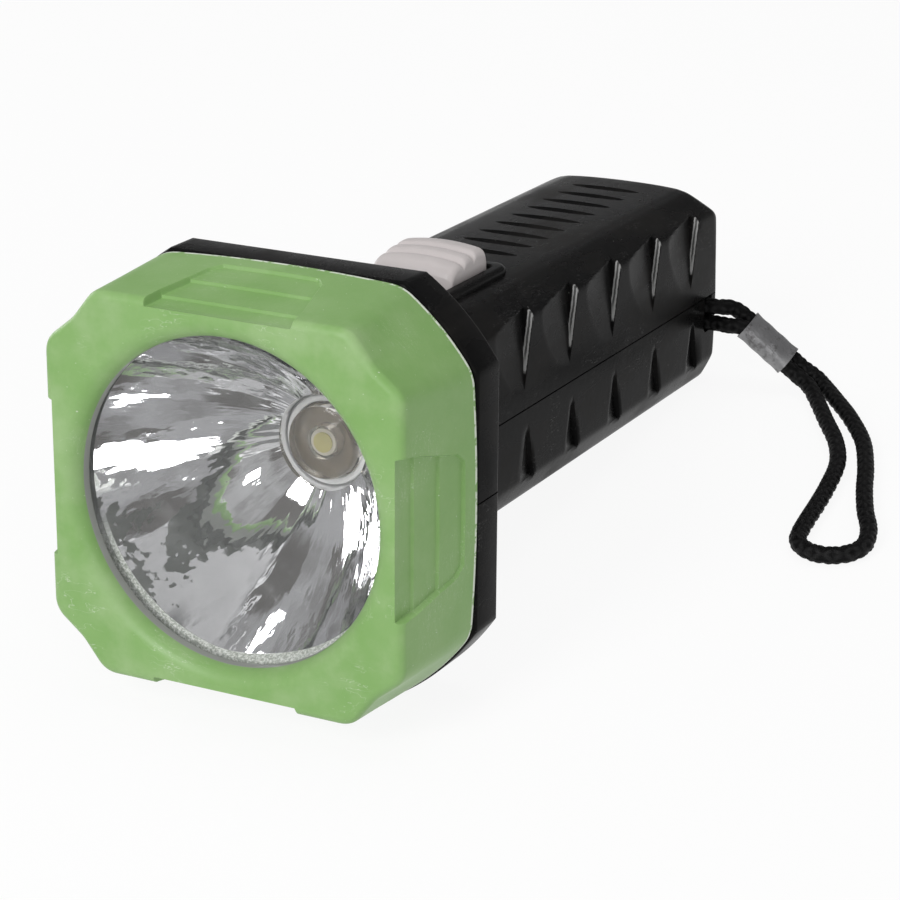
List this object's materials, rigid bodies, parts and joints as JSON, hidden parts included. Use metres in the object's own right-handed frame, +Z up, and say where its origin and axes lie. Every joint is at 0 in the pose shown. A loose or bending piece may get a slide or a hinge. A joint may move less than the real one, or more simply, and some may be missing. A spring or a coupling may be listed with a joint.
{
  "type": "led flashlight",
  "caption": "Square-headed hand torch with a green bezel, a black two-half housing, a slide switch on top, a sealed rechargeable battery inside and a braided wrist strap.",
  "frame": {"origin": "middle of the table face of the torch's bounding box, measured without the strap and its crimp, with the torch lying on its collar and tail", "axes": "+Z up, +Y towards the tail, -Y the way the lens faces, +X to the right of somebody who looks from the lens towards the tail"},
  "size_m": [0.1273, 0.185, 0.081],
  "materials": {
    "green_shell": "satin moulded plastic",
    "clear_lens": "clear polished plastic",
    "mirror_bowl": "vacuum metallised, slightly wavy",
    "grey_ring": "matt moulded plastic",
    "clear_dome": "clear moulded plastic",
    "white_carrier": "matt moulded plastic",
    "yellow_phosphor": "matt",
    "brown_board": "resin board",
    "black_shell": "satin moulded plastic",
    "black_inner": "matt moulded plastic",
    "light_slide": "satin moulded plastic",
    "steel": "plated",
    "brass": "bare",
    "battery_wrap": "shrink wrap",
    "foam": "closed-cell foam",
    "green_card": "solder resist",
    "blue_sleeve": "sleeve",
    "resistor_body": "lacquer",
    "red_lamp": "clear red plastic",
    "red_wire": "insulation",
    "black_wire": "insulation",
    "black_braid": "braided nylon",
    "bare_aluminium": "pressed sheet"
  },
  "bodies": {
    "torch": {"bezel": "green_shell", "lens": "clear_lens", "reflector": "mirror_bowl", "led_ring": "grey_ring", "led_dome": "clear_dome", "led_package": "white_carrier", "led_phosphor": "yellow_phosphor", "led_board": "brown_board", "led_retainer": "black_inner", "retainer_screw_left": "steel", "retainer_screw_right": "steel", "upper_housing": "black_shell", "lower_housing": "black_shell", "housing_screw_front_left": "steel", "housing_screw_front_right": "steel", "housing_screw_rear_left": "steel", "housing_screw_rear_right": "steel", "switch_screw_front": "steel", "switch_screw_rear": "steel", "switch_base": "black_inner", "switch_terminal_front": "brass", "switch_terminal_middle": "brass", "switch_terminal_rear": "brass", "battery": "battery_wrap", "battery_terminal_minus": "steel", "battery_terminal_plus": "steel", "battery_pad": "foam", "charge_board": "green_card", "board_capacitor": "blue_sleeve", "board_regulator": "black_inner", "board_resistor": "resistor_body", "charge_socket": "black_inner", "socket_pin": "steel", "charge_lamp": "red_lamp", "strap_cord": "black_braid", "strap_crimp": "bare_aluminium", "strap_anchor": "steel", "wire_switch": "red_wire", "wire_led_plus": "red_wire", "wire_led_minus": "black_wire", "wire_charge_plus": "red_wire", "wire_charge_minus": "black_wire"},
    "switch": {"switch_thumb": "light_slide", "switch_carrier": "white_carrier", "switch_contact": "brass"}
  },
  "joints": [
    {"name": "switch_slide", "type": "slide", "parent": "torch", "child": "switch", "axis": [0, -0.9911, 0.1334], "range_m": [0, 0.006]}
  ]
}
